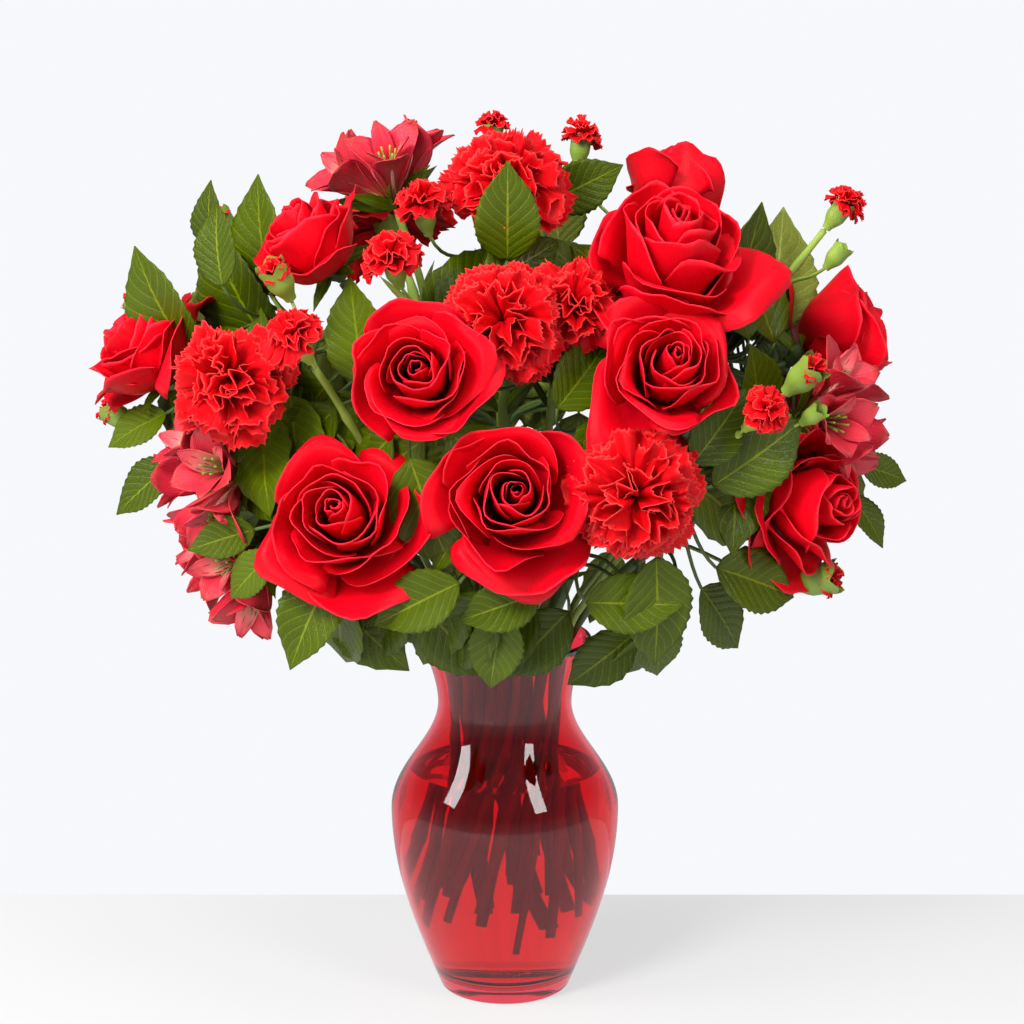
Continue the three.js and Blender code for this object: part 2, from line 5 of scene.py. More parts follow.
import bpy
import numpy as np
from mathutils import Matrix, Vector

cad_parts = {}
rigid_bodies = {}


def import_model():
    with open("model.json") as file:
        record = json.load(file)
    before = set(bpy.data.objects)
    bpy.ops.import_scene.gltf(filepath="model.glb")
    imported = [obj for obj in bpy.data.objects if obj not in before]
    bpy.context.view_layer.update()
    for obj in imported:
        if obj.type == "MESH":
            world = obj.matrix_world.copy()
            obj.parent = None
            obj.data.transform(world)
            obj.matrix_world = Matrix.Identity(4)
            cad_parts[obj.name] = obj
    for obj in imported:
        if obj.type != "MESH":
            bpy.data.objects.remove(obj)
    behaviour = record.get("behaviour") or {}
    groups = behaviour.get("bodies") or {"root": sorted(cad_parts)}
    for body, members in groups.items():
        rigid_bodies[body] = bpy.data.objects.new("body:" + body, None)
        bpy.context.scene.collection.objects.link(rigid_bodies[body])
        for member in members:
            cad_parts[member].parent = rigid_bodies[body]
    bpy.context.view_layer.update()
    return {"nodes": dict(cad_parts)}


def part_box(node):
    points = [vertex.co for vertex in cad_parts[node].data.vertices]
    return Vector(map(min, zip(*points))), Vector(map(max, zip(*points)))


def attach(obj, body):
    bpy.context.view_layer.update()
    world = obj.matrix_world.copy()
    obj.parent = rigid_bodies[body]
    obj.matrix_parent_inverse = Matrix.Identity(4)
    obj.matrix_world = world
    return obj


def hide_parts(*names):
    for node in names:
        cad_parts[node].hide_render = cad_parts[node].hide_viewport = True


for leftover in list(bpy.data.objects):
    bpy.data.objects.remove(leftover)
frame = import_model()

MM = 0.001
GOLDEN = math.radians(137.508)
UP = np.array([0.0, 0.0, 1.0])
VASE_LOW, VASE_HIGH = (np.array(corner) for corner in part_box("vase"))
VASE_HEIGHT = VASE_HIGH[2]
MOUTH = np.array([0.0, 0.0, VASE_HEIGHT])
WATER_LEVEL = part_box("water")[1][2]

# The dome that the flowers sit on, as in the part: half width, half depth, rise and middle.
DOME = np.array([195, 145, 150]) * MM
DOME_MIDDLE = VASE_HEIGHT + 117 * MM

SEEDS = {"sepals": 100, "rose": 200, "carnation": 300, "straps": 320, "spray": 400, "umbel": 600,
         "bud": 900, "filler": 77}
PETALS = {"rose": 20, "carnation": 46, "spray": 26, "bud": 14}
ROSE_SHEET, CARNATION_SHEET, SMALL_SHEET, LEAF_SHEET = 0.45 * MM, 0.35 * MM, 0.3 * MM, 0.5 * MM
ROSE_NECK, CARNATION_NECK = 0.4, 0.14
STEM_STEP, JOINT_GAP, JOINT_LENGTH, JOINT_SWELLING = 6, 62, 5.0, 0.4

STEM_RADIUS = {"rose": 2.8, "carnation": 2.3, "spray": 1.9, "alstroemeria": 2.2, "green": 1.9}
UMBEL = {"florets": 5, "diameter": 38, "stalk": 40, "spread": 0.85, "set_back": 0.8}

# The blooms, as in the part: heading, lift and reach on the dome, diameter, and the way they face.
BLOOMS = {
    "rose_01": (-14, 21, 1, 82, -5, 20), "rose_02": (27, 22, 1, 82, 5, 30),
    "rose_03": (-26, -7, 1, 90, -10, 25), "rose_04": (1, -2, 1, 86, 0, 20),
    "rose_05": (42, 49, 1, 98, 10, 60), "rose_06": (125, 55, 1.05, 66, 160, 40),
    "rose_07": (60, -10, 1, 79, 45, 5), "rose_08": (-58, 50, 1, 72, -70, 50),
    "rose_09": (-85, 18, 1.08, 76, -75, 45), "rose_10": (98, 18, 1.05, 88, 100, 20),
    "rose_11": (180, 20, 1, 84, 180, 25),
    "carnation_1": (1, 70, 1, 74, 0, 50), "carnation_2": (0, 36, 0.86, 70, 0, 25),
    "carnation_3": (-49, 17, 1, 72, -30, 30), "carnation_4": (20, -3, 1, 76, 10, 10),
    "carnation_5": (18, 43, 0.8, 56, 15, 50), "carnation_6": (-150, 45, 1, 74, -150, 45),
    "spray_2_flower_1": (-34, 26, 1.08, 38, None, None),
    "spray_3_flower_1": (-170, 80, 1.1, 22, None, None),
    "spray_3_flower_2": (-25, 60, 1.02, 35, None, None),
    "spray_3_flower_3": (-25, 46, 1, 38, None, None),
    "spray_4_flower_1": (92, 41, 1.25, 26, None, None),
    "spray_4_flower_2": (130, 75, 1.09, 26, None, None),
    "spray_5_flower_1": (40, 12, 1.08, 31, None, None),
}
UMBELS = [(-110, 69, 1.05), (-66, -30, 0.98), (-60, -7, 0.97), (72, 6, 1.0)]

# The leaves, as in the part, under the stem they grow on: each tip's heading, lift and reach on
# the dome, the length, the clock direction it points to from outside, and its flare.
LEAVES = {
    "green_1": [(-92, 48, 1.2, 42, 0, 50), (-80, 34, 1.22, 68, 0, 60), (-68, 46, 1.18, 44, -25, 40),
                (-86, -3, 1.1, 38, 200, 60), (-82, -15, 1.12, 44, 200, 60)],
    "green_2": [(112, 42, 1.14, 74, 0, 50), (95, 71, 1.0, 46, 180, 45), (85, -22, 1.14, 34, 190, 55),
                (90, -10, 1.14, 32, 120, 65), (54, 8, 0.98, 60, 60, 30), (130, 20, 1.05, 64, 60, 40)],
    "green_3": [(-36, -36, 1.18, 58, 205, 55), (-22, -30, 1.04, 50, 250, 25),
                (-8, -30, 1.0, 44, 260, 20), (-3, -48, 1.05, 46, 190, 35),
                (-52, -16, 1.1, 36, 265, 60), (-48, -26, 1.08, 36, 230, 35)],
    "green_4": [(30, -26, 1.04, 50, 80, 25), (27, -38, 1.1, 60, 175, 30), (36, -48, 1.04, 44, 160, 25),
                (60, -30, 1.04, 56, 100, 35), (54, -42, 1.05, 50, 130, 35), (44, 16, 0.94, 48, 45, 20)],
    "rose_01": [(1, 62, 1.15, 54, 0, 76)],
    "rose_05": [(30, 36, 0.68, 50, 50, 10)],
    "rose_06": [(150, 35, 1.05, 60, 20, 30), (165, 62, 1.0, 56, 0, 30)],
    "rose_11": [(160, -22, 1.05, 60, 150, 30), (-160, -28, 1.05, 60, 200, 30),
                (-140, 0, 1.05, 62, 270, 30), (140, -6, 1.05, 58, 90, 30)],
    "carnation_6": [(-120, 28, 1.05, 58, 300, 30), (-172, 44, 1.0, 54, 60, 25)],
}
LEAF_WIDTH = 0.62

# The closed buds of the sprays, as in the part: heading, lift, reach and diameter.
BUDS = {
    "spray_1": [(-102, 22, 1.16, 15), (-93, 3, 1.12, 15)],
    "spray_2": [(-105, 42, 1.12, 16), (-42, 37, 1.12, 17)],
    "spray_4": [(80, 36, 1.15, 12)],
    "spray_5": [(52, 18, 1.08, 18), (66, -25, 1.08, 20), (53, 10, 1.05, 11)],
}
INNER_LEAVES, COLLAR_LEAVES, MOUTH_LEAVES = 230, 84, 18

# The roses' loose guard petals: the clock direction of each from straight down, and how far it hangs.
HANGING = {"rose_03": [(-5, 0.55), (60, 0.3)], "rose_04": [(5, 0.45)],
           "rose_05": [(-60, 0.5), (50, 0.25)], "rose_07": [(20, 1.3), (-35, 0.8), (-90, 0.7)],
           "rose_09": [(60, 0.4)], "rose_10": [(-20, 0.7), (40, 0.8), (100, 0.6)]}

# Leaves that close gaps and aren't in the part, written as the leaves above.
EXTRA_LEAVES = {
    "green_1": [(-92, 42, 1.1, 78, 0, 68), (-84, 54, 1.14, 66, 0, 60), (-66, 34, 0.86, 60, -10, 40),
                (-44, 46, 0.84, 56, -20, 40)],
    "green_2": [(100, 48, 1.08, 84, 0, 66), (60, 26, 0.84, 60, -30, 30), (72, 14, 0.88, 60, -60, 20),
                (52, 34, 0.8, 56, 20, 30)],
}


def unit(vector):
    return vector / np.linalg.norm(vector)


def direction(heading, lift):
    h, l = math.radians(heading), math.radians(lift)
    return np.array([math.sin(h) * math.cos(l), -math.cos(h) * math.cos(l), math.sin(l)])


def on_dome(heading, lift, reach):
    return direction(heading, lift) * DOME * reach + np.array([0, 0, DOME_MIDDLE])


def on_surface(heading, lift, clock, flare):
    """A direction along the dome: clock turns from straight up, and flare leans out."""
    c, f = math.radians(clock), math.radians(flare)
    along = math.cos(c) * direction(heading, lift + 90) + math.sin(c) * direction(heading + 90, 0)
    return math.cos(f) * along + math.sin(f) * direction(heading, lift)


def smooth(values, low, high):
    t = np.clip((values - low) / (high - low), 0, 1)
    return t * t * (3 - 2 * t)


def axes_for(face):
    """Rows are the local x, y and z axes, with z along face."""
    helper = UP if abs(face[2]) < 0.95 else np.array([0.0, -1.0, 0.0])
    x = unit(np.cross(helper, face))
    return np.array([x, np.cross(face, x), face])


class Sheets:
    """Collects grids of points into one mesh, each with a UV from 0 to 1 and a tint."""

    def __init__(self):
        self.points, self.faces, self.uvs, self.tints, self.count = [], [], [], [], 0

    def grid(self, points, tint=0.5, closed=False):
        rows, columns = points.shape[:2]
        index = np.arange(rows * columns).reshape(rows, columns) + self.count
        across = columns if closed else columns - 1
        nexts = (np.arange(across) + 1) % columns
        a, b = index[:-1, :across], index[:-1, nexts]
        c, d = index[1:, nexts], index[1:, :across]
        self.faces.append(np.stack([a, b, c, d], -1).reshape(-1, 4))
        v, u = np.meshgrid(np.linspace(0, 1, rows), np.linspace(0, 1, columns), indexing="ij")
        self.uvs.append(np.stack([u, v], -1).reshape(-1, 2))
        self.tints.append(np.full(rows * columns, tint))
        self.points.append(points.reshape(-1, 3))
        self.count += rows * columns

    def build(self, name, materials, thickness=0.0, body="root"):
        mesh = bpy.data.meshes.new(name)
        faces = np.concatenate(self.faces)
        mesh.from_pydata(np.concatenate(self.points).tolist(), [], faces.tolist())
        uvs = np.concatenate(self.uvs)[faces.reshape(-1)]
        mesh.uv_layers.new(name="UVMap").data.foreach_set("uv", uvs.astype(np.float32).ravel())
        tint = mesh.attributes.new("tint", "FLOAT", "POINT")
        tint.data.foreach_set("value", np.concatenate(self.tints).astype(np.float32))
        mesh.polygons.foreach_set("use_smooth", [True] * len(mesh.polygons))
        for material in materials:
            mesh.materials.append(material)
        piece = bpy.data.objects.new(name, mesh)
        bpy.context.scene.collection.objects.link(piece)
        if thickness:
            solid = piece.modifiers.new("thickness", "SOLIDIFY")
            solid.thickness = thickness
            solid.offset = 0
            solid.material_offset = len(materials) - 1
        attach(piece, body)
        return piece


# Materials

def new_material(name):
    material = bpy.data.materials.new(name)
    material.use_nodes = True
    return material, material.node_tree, material.node_tree.nodes["Principled BSDF"]


def node(tree, kind, inputs=None, **settings):
    made = tree.nodes.new(kind)
    for key, value in settings.items():
        setattr(made, key, value)
    for key, value in (inputs or {}).items():
        if isinstance(value, bpy.types.NodeSocket):
            tree.links.new(value, made.inputs[key])
        else:
            made.inputs[key].default_value = value
    return made


def maths(tree, operation, first, second=0.0):
    return node(tree, "ShaderNodeMath", {0: first, 1: second}, operation=operation).outputs[0]


def ramp(tree, factor, stops):
    made = node(tree, "ShaderNodeValToRGB", {"Fac": factor})
    elements = made.color_ramp.elements
    while len(elements) < len(stops):
        elements.new(0.5)
    for element, (place, colour) in zip(elements, stops):
        element.position = place
        element.color = (*colour, 1)
    return made.outputs["Color"]


def mix(tree, factor, first, second, blend="MIX"):
    made = node(tree, "ShaderNodeMix", data_type="RGBA", blend_type=blend)
    for socket, value in ((0, factor), (6, first), (7, second)):
        if isinstance(value, bpy.types.NodeSocket):
            tree.links.new(value, made.inputs[socket])
        else:
            made.inputs[socket].default_value = value if socket == 0 else (*value, 1)
    return made.outputs[2]


def coordinates(tree):
    texture = node(tree, "ShaderNodeTexCoord")
    split = node(tree, "ShaderNodeSeparateXYZ", {0: texture.outputs["UV"]})
    return texture, split.outputs["X"], split.outputs["Y"]


def petal_material(name, base, body, edge, roughness, sheen, streaks=0.25):
    """A petal: dark at its claw, where the colour is painted shade, and lighter at its lip, where it is a
    painted highlight, with fine lengthwise streaks and a soft bloom.
    """
    material, tree, shader = new_material(name)
    texture, _, v = coordinates(tree)
    # The claw colour is painted shade deep in the bloom, and the edge colour at the lip is a painted
    # highlight.
    colour = ramp(tree, v, [(0.0, base), (0.45, body), (0.95, body), (1.0, edge)])
    stretched = node(tree, "ShaderNodeMapping", {"Vector": texture.outputs["UV"], "Scale": (34, 2.5, 1)})
    fibres = node(tree, "ShaderNodeTexNoise", {"Vector": stretched.outputs[0], "Scale": 1.6, "Detail": 5})
    mottle = node(tree, "ShaderNodeTexNoise",
                  {"Vector": texture.outputs["Object"], "Scale": 60, "Detail": 3})
    tint = node(tree, "ShaderNodeAttribute", attribute_name="tint").outputs["Fac"]
    colour = mix(tree, maths(tree, "MULTIPLY", fibres.outputs["Fac"], streaks), colour, base)
    colour = mix(tree, maths(tree, "MULTIPLY", mottle.outputs["Fac"], 0.16), colour, base)
    # A darker copy of the petal colour, mixed in where the tint is low. On the roses this is painted shade
    # set by each petal's place in the bloom; on the carnations and buds the tint is random.
    shaded = mix(tree, 1.0, colour, (0.52, 0.4, 0.6), "MULTIPLY")
    colour = mix(tree, tint, shaded, colour)
    tree.links.new(colour, shader.inputs["Base Color"])
    bump = node(tree, "ShaderNodeBump",
                {"Strength": 0.28, "Distance": 0.0006, "Height": fibres.outputs["Fac"]})
    tree.links.new(bump.outputs[0], shader.inputs["Normal"])
    shader.inputs["Roughness"].default_value = roughness
    shader.inputs["Sheen Weight"].default_value = sheen
    shader.inputs["Sheen Roughness"].default_value = 0.4
    shader.inputs["Sheen Tint"].default_value = (*edge, 1)
    shader.inputs["Specular IOR Level"].default_value = 0.14
    return material


def alstroemeria_material():
    """A tepal: wine red, green at its tip, with a pale throat crossed by dark dashes."""
    material, tree, shader = new_material("alstroemeria_petal")
    texture, _, v = coordinates(tree)
    tint = node(tree, "ShaderNodeAttribute", attribute_name="tint").outputs["Fac"]
    red = ramp(tree, v, [(0.0, (0.3, 0.08, 0.02)), (0.3, (0.5, 0.008, 0.02)),
                         (0.8, (0.6, 0.01, 0.035)), (1.0, (0.4, 0.03, 0.03))])
    pale = ramp(tree, v, [(0.0, (0.5, 0.3, 0.1)), (0.5, (0.86, 0.4, 0.33)), (0.85, (0.66, 0.08, 0.09)),
                          (1.0, (0.4, 0.01, 0.03))])
    colour = mix(tree, tint, red, pale)
    dashes = node(tree, "ShaderNodeMapping", {"Vector": texture.outputs["UV"], "Scale": (11, 5, 1)})
    spots = node(tree, "ShaderNodeTexVoronoi", {"Vector": dashes.outputs[0], "Scale": 1.0})
    dark = maths(tree, "LESS_THAN", spots.outputs["Distance"], 0.26)
    dark = maths(tree, "MULTIPLY", dark, maths(tree, "MULTIPLY", tint, 0.9))
    colour = mix(tree, dark, colour, (0.06, 0.002, 0.006))
    veins = node(tree, "ShaderNodeTexWave", {"Vector": texture.outputs["UV"], "Scale": 5, "Distortion": 0.6})
    colour = mix(tree, maths(tree, "MULTIPLY", veins.outputs["Fac"], 0.2), colour, (0.16, 0.004, 0.01))
    tree.links.new(colour, shader.inputs["Base Color"])
    bump = node(tree, "ShaderNodeBump",
                {"Strength": 0.25, "Distance": 0.0005, "Height": veins.outputs["Fac"]})
    tree.links.new(bump.outputs[0], shader.inputs["Normal"])
    shader.inputs["Roughness"].default_value = 0.42
    return material


def leaf_material(name, dark, light, vein, roughness):
    """A broad leaf with a pale midrib, side veins that sweep to the tip, and a mottled blade."""
    material, tree, shader = new_material(name)
    texture, u, v = coordinates(tree)
    side = maths(tree, "ABSOLUTE", maths(tree, "SUBTRACT", u, 0.5))
    slant = maths(tree, "SUBTRACT", maths(tree, "MULTIPLY", v, 9.0), maths(tree, "MULTIPLY", side, 5.0))
    ridge = maths(tree, "PINGPONG", slant, 0.5)
    lateral = maths(tree, "LESS_THAN", ridge, 0.045)
    midrib = maths(tree, "LESS_THAN", side, 0.018)
    lines = maths(tree, "MAXIMUM", maths(tree, "MULTIPLY", lateral, 0.55), midrib)
    cells = node(tree, "ShaderNodeTexVoronoi",
                 {"Vector": texture.outputs["UV"], "Scale": 30}, feature="DISTANCE_TO_EDGE")
    noise = node(tree, "ShaderNodeTexNoise",
                 {"Vector": texture.outputs["Object"], "Scale": 45, "Detail": 4})
    tint = node(tree, "ShaderNodeAttribute", attribute_name="tint").outputs["Fac"]
    shade = maths(tree, "ADD", maths(tree, "MULTIPLY", noise.outputs["Fac"], 0.5),
                  maths(tree, "MULTIPLY", tint, 0.5))
    colour = mix(tree, shade, dark, light)
    colour = mix(tree, maths(tree, "MULTIPLY", lines, 0.75), colour, vein)
    tree.links.new(colour, shader.inputs["Base Color"])
    relief = maths(tree, "ADD", maths(tree, "MULTIPLY", ridge, 1.6),
                   maths(tree, "MULTIPLY", cells.outputs["Distance"], 1.2))
    bump = node(tree, "ShaderNodeBump", {"Strength": 0.45, "Distance": 0.0008, "Height": relief})
    tree.links.new(bump.outputs[0], shader.inputs["Normal"])
    shader.inputs["Roughness"].default_value = roughness
    shader.inputs["Specular IOR Level"].default_value = 0.25
    return material


def stem_material(name, dark, light, roughness):
    """A stem: ribs along its length and paler patches, turning tan below the water."""
    material, tree, shader = new_material(name)
    texture = node(tree, "ShaderNodeTexCoord")
    ribs = node(tree, "ShaderNodeMapping", {"Vector": texture.outputs["UV"], "Scale": (14, 20, 1)})
    fine = node(tree, "ShaderNodeTexNoise", {"Vector": ribs.outputs[0], "Scale": 1.5, "Detail": 4})
    broad = node(tree, "ShaderNodeTexNoise", {"Vector": texture.outputs["Object"], "Scale": 25})
    colour = ramp(tree, broad.outputs["Fac"], [(0.3, dark), (0.7, light)])
    colour = mix(tree, maths(tree, "MULTIPLY", fine.outputs["Fac"], 0.35), colour, dark)
    height = node(tree, "ShaderNodeSeparateXYZ", {0: texture.outputs["Object"]}).outputs["Z"]
    under = node(tree, "ShaderNodeMapRange",
                 {"Value": height, "From Min": VASE_HEIGHT, "From Max": WATER_LEVEL})
    tan = ramp(tree, broad.outputs["Fac"], [(0.3, (0.2, 0.13, 0.045)), (0.7, (0.36, 0.26, 0.1))])
    colour = mix(tree, maths(tree, "MULTIPLY", under.outputs[0], 0.85), colour, tan)
    tree.links.new(colour, shader.inputs["Base Color"])
    bump = node(tree, "ShaderNodeBump",
                {"Strength": 0.3, "Distance": 0.0005, "Height": fine.outputs["Fac"]})
    tree.links.new(bump.outputs[0], shader.inputs["Normal"])
    shader.inputs["Roughness"].default_value = roughness
    return material


def glass_material():
    """Ruby glass: clear and smooth, with the faint unevenness of blown glass."""
    material, tree, shader = new_material("vase_glass")
    texture = node(tree, "ShaderNodeTexCoord")
    noise = node(tree, "ShaderNodeTexNoise", {"Vector": texture.outputs["Object"], "Scale": 14})
    colour = ramp(tree, noise.outputs["Fac"], [(0.3, (0.84, 0.03, 0.062)), (0.7, (0.88, 0.038, 0.075))])
    tree.links.new(colour, shader.inputs["Base Color"])
    bump = node(tree, "ShaderNodeBump",
                {"Strength": 0.08, "Distance": 0.001, "Height": noise.outputs["Fac"]})
    tree.links.new(bump.outputs[0], shader.inputs["Normal"])
    shader.inputs["Roughness"].default_value = 0.01
    shader.inputs["IOR"].default_value = 1.5
    shader.inputs["Transmission Weight"].default_value = 1.0
    return material


def water_material():
    material, tree, shader = new_material("water")
    texture = node(tree, "ShaderNodeTexCoord")
    noise = node(tree, "ShaderNodeTexNoise", {"Vector": texture.outputs["Object"], "Scale": 20})
    colour = ramp(tree, noise.outputs["Fac"], [(0.3, (0.95, 0.97, 0.96)), (0.7, (1, 1, 1))])
    tree.links.new(colour, shader.inputs["Base Color"])
    shader.inputs["Roughness"].default_value = 0.0
    shader.inputs["IOR"].default_value = 1.33
    shader.inputs["Transmission Weight"].default_value = 1.0
    return material


# In each petal material, the first colour, at the claw, is painted shade, and the last, at the lip, is a
# painted highlight.
ROSE = petal_material("rose_petal", (0.26, 0.0, 0.003), (0.8, 0.0015, 0.011), (0.85, 0.02, 0.04), 0.42, 0.06)
CARNATION = petal_material(
    "carnation_petal", (0.34, 0.001, 0.003), (0.66, 0.002, 0.006), (0.82, 0.05, 0.042), 0.5, 0.04, 0.24)
ALSTROEMERIA = alstroemeria_material()
LEAF = leaf_material("leaf", (0.02, 0.034, 0.0), (0.078, 0.115, 0.0), (0.16, 0.19, 0.004), 0.36)
LEAF_UNDER = leaf_material("leaf_under", (0.1, 0.13, 0.015), (0.17, 0.2, 0.03), (0.27, 0.3, 0.08), 0.55)
ROSE_STEM = stem_material("rose_stem", (0.03, 0.055, 0.008), (0.09, 0.14, 0.03), 0.45)
PALE_STEM = stem_material("carnation_stem", (0.11, 0.19, 0.02), (0.3, 0.4, 0.06), 0.45)


# Reading the frame

def bloom_place(name):
    """A bloom's centre, facing and diameter, by the part's own rule."""
    heading, lift, reach, diameter, azimuth, elevation = BLOOMS[name]
    centre = on_dome(heading, lift, reach)
    face = unit(centre - MOUTH) if azimuth is None else direction(azimuth, elevation)
    return centre, face, diameter * MM


def centreline(name, radius, step=STEM_STEP * MM):
    """Follows a stem from its foot by slicing its node across, until its flower or its cup."""
    mesh = frame["nodes"][name].data
    points = np.array([vertex.co for vertex in mesh.vertices])
    edges = np.array([(points[edge.vertices[0]], points[edge.vertices[1]]) for edge in mesh.edges])
    lowest = points[np.argmin(points[:, 2])]
    here = points[np.linalg.norm(points - lowest, axis=1) < 2.3 * radius].mean(0)
    ahead, path = UP.copy(), [here]
    for _ in range(120):
        target = here + ahead * step
        start, end = ((edges[:, k] - target) @ ahead for k in (0, 1))
        crossed = start * end < 0
        if not crossed.any():
            break
        share = (start[crossed] / (start[crossed] - end[crossed]))[:, None]
        cuts = edges[crossed, 0] + share * (edges[crossed, 1] - edges[crossed, 0])
        near = cuts[np.linalg.norm(cuts - target, axis=1) < 2.0 * radius]
        if len(near) < 4:
            break
        middle = (near.min(0) + near.max(0)) / 2
        ahead = unit(0.5 * ahead + 0.5 * unit(middle - here))
        here = middle
        path.append(here)
    return np.array(path)


def spline(points, count):
    """A smooth curve through a few points."""
    points = np.array(points)
    padded = np.vstack([2 * points[0] - points[1], points, 2 * points[-1] - points[-2]])
    made = []
    for t in np.linspace(0, len(points) - 1 - 1e-6, count):
        i, f = int(t), t - int(t)
        p0, p1, p2, p3 = padded[i:i + 4]
        made.append(0.5 * (2 * p1 + (p2 - p0) * f + (2 * p0 - 5 * p1 + 4 * p2 - p3) * f ** 2
                           + (3 * p1 - p0 - 3 * p2 + p3) * f ** 3))
    return np.array(made)


def tube(sheets, path, radii, sides=10, tint=0.5):
    """A closed round tube along a path, with a radius at each point."""
    radii = np.broadcast_to(radii, len(path))
    tangents = np.gradient(path, axis=0)
    tangents /= np.linalg.norm(tangents, axis=1)[:, None]
    side = unit(np.cross(tangents[0], [0.31, 0.93, 0.17]))
    rings = [np.repeat(path[:1], sides, 0)]
    for point, tangent, radius in zip(path, tangents, radii):
        side = unit(side - tangent * np.dot(side, tangent))
        other = np.cross(tangent, side)
        angles = np.linspace(0, 2 * math.pi, sides, endpoint=False)[:, None]
        rings.append(point + radius * (np.cos(angles) * side + np.sin(angles) * other))
    rings.append(np.repeat(path[-1:], sides, 0))
    sheets.grid(np.array(rings), tint, closed=True)


# Flowers. Each petal is worked out round the +Z axis at a diameter of 1, then turned and placed.

def bezier(points, t):
    p = np.array(points)[:, None, :]
    t = t[:, None]
    return (1 - t) ** 3 * p[0] + 3 * (1 - t) ** 2 * t * p[1] + 3 * (1 - t) * t ** 2 * p[2] + t ** 3 * p[3]


def rose_petal(order, turn, rng, hang=0.0, rows=13, columns=17):
    """order runs from 0, the tight heart, to 1, the outer guard petals that curl back."""
    u = np.linspace(-1, 1, columns)[None, :]
    v = np.linspace(0, 1, rows)[:, None] ** 0.85
    rim = 0.014 + 0.42 * order ** 1.3 * rng.uniform(0.94, 1.05)
    top = 0.17 + 0.2 * order - 0.43 * order ** 2 + rng.normal(0, 0.012)
    rim, top = rim + 0.12 * hang, top - 0.16 * hang
    waist = rim * (1.3 - 0.5 * order) + 0.02
    profile = [(0.03, -0.38), (0.1 + 0.24 * order, -0.38), (waist, top - 0.2), (rim, top)]
    # The rim rounds down to both sides, and its height wanders a little.
    fall = 1 - (0.1 + 0.26 * order) * np.abs(u) ** (3.5 - order)
    wander = 1 + (0.025 + 0.035 * order) * np.sin(u * rng.uniform(2, 4) + rng.uniform(0, 6))
    reach = np.clip(v * fall * wander, 0, 1)
    curve = bezier(profile, reach.ravel()).reshape(rows, columns, 2)
    radius, height = curve[..., 0], curve[..., 1]
    # The lip rolls outward and down, far at some places and hardly at others.
    lip = smooth(v, 0.6, 1.0) * (0.15 + 0.85 * order) * rng.uniform(0.5, 1.35)
    roll = 1 + 0.8 * np.sin(u * rng.uniform(1.2, 3.2) + rng.uniform(0, 6))
    radius = radius + 0.055 * lip * roll
    height = height - 0.075 * lip * roll * smooth(v, 0.78, 1.0)
    # A blunt point off the middle of the lip, and soft creases running down from it.
    pinch = rng.uniform(-0.45, 0.45)
    radius = radius + 0.055 * order * np.exp(-((u - pinch) / 0.2) ** 2) * smooth(v, 0.6, 1)
    crease = np.sin(u * rng.uniform(5, 8) + rng.uniform(0, 6)) * v ** 2
    flutter = np.sin(u * rng.uniform(10, 14) + rng.uniform(0, 6)) * smooth(v, 0.82, 1)
    radius = radius + (0.004 + 0.018 * order) * crease
    height = height + 0.008 * (0.3 + order) * flutter
    # One side tucks inside its neighbour and the other laps over it.
    radius = radius * (1 + (0.13 + 0.06 * order) * u * v)
    half = math.radians(128 - 66 * order ** 0.7) * rng.uniform(0.88, 1.08)
    breadth = 0.35 + 0.65 * np.sin(np.clip(v, 0, 1) * math.pi * 0.6)
    angle = turn + half * breadth * u
    radius = np.maximum(radius, 0.005)
    lean = height + rng.normal(0, 0.09) * order * radius
    return np.stack([radius * np.cos(angle), radius * np.sin(angle), lean], -1)


def rose_bloom(sheets, centre, face, diameter, seed, hanging):
    rng = np.random.default_rng(seed)
    axes = axes_for(face)
    start = rng.uniform(0, 6.28)
    squeeze = np.array([rng.uniform(0.92, 1.05), rng.uniform(0.92, 1.05), 1.0])
    for i in range(PETALS["rose"]):
        order = i / (PETALS["rose"] - 1)
        shape = rose_petal(order, start + i * GOLDEN + rng.normal(0, 0.22), rng) * squeeze
        # The heart leans a little to one side, as it does when a rose opens.
        shape = shape + np.array([0.035, 0.02, 0]) * (1 - order) ** 2
        # Painted shade: the tight heart and the outer guard petals get lower tints, so they are drawn darker,
        # with some random spread.
        tint = 0.5 + 1.2 * order * (1 - order) + rng.normal(0, 0.16)
        sheets.grid(centre + (shape * diameter) @ axes, min(max(tint, 0.1), 1.0))
    for clock, hang in hanging:
        c = math.radians(clock)
        down = axes @ np.array([math.sin(c), 0, -math.cos(c)])
        shape = rose_petal(1.0, math.atan2(down[1], down[0]), rng, hang) * squeeze
        sheets.grid(centre + (shape * diameter) @ axes, 0.75)


def carnation_petal(lean, turn, rng, length, fan, rows, columns):
    """A fan on a narrow claw, with deep ruffles along its length and a finely toothed lip."""
    u = np.linspace(-1, 1, columns)[None, :]
    v = np.linspace(0, 1, rows)[:, None]
    width = fan * (0.1 + 0.9 * smooth(v, 0.2, 0.95))
    teeth = (np.arange(columns) % 2)[None, :] * 0.05 + rng.normal(0, 0.018, (1, columns))
    reach = length * (v * (1 - 0.2 * u ** 2) - teeth * smooth(v, 0.8, 1))
    phase = rng.uniform(0, 6.28, 4)
    wide = rng.uniform(3.5, 6)
    ruffle = 0.06 * v ** 1.6 * np.sin(u * wide + phase[0] + 1.2 * v)
    ruffle = ruffle + 0.022 * v ** 3 * np.sin(u * 10 + phase[1] + 2 * v)
    ruffle = ruffle * (1.25 - 0.35 * lean)
    bend = lean + 0.5 * smooth(v, 0.35, 1) * (0.25 + 0.5 * lean) + 0.2 * v * np.sin(phase[2])
    outward = np.sin(bend) * reach + ruffle * np.cos(bend)
    upward = np.cos(bend) * reach - ruffle * np.sin(bend)
    twist = 0.5 * np.sin(phase[3]) * v
    across = width * u + 0 * v
    outward, across = outward + across * np.sin(twist) * 0.5, across * np.cos(twist)
    x = outward * math.cos(turn) - across * math.sin(turn)
    y = outward * math.sin(turn) + across * math.cos(turn)
    return np.stack([x, y, upward - 0.14], -1)


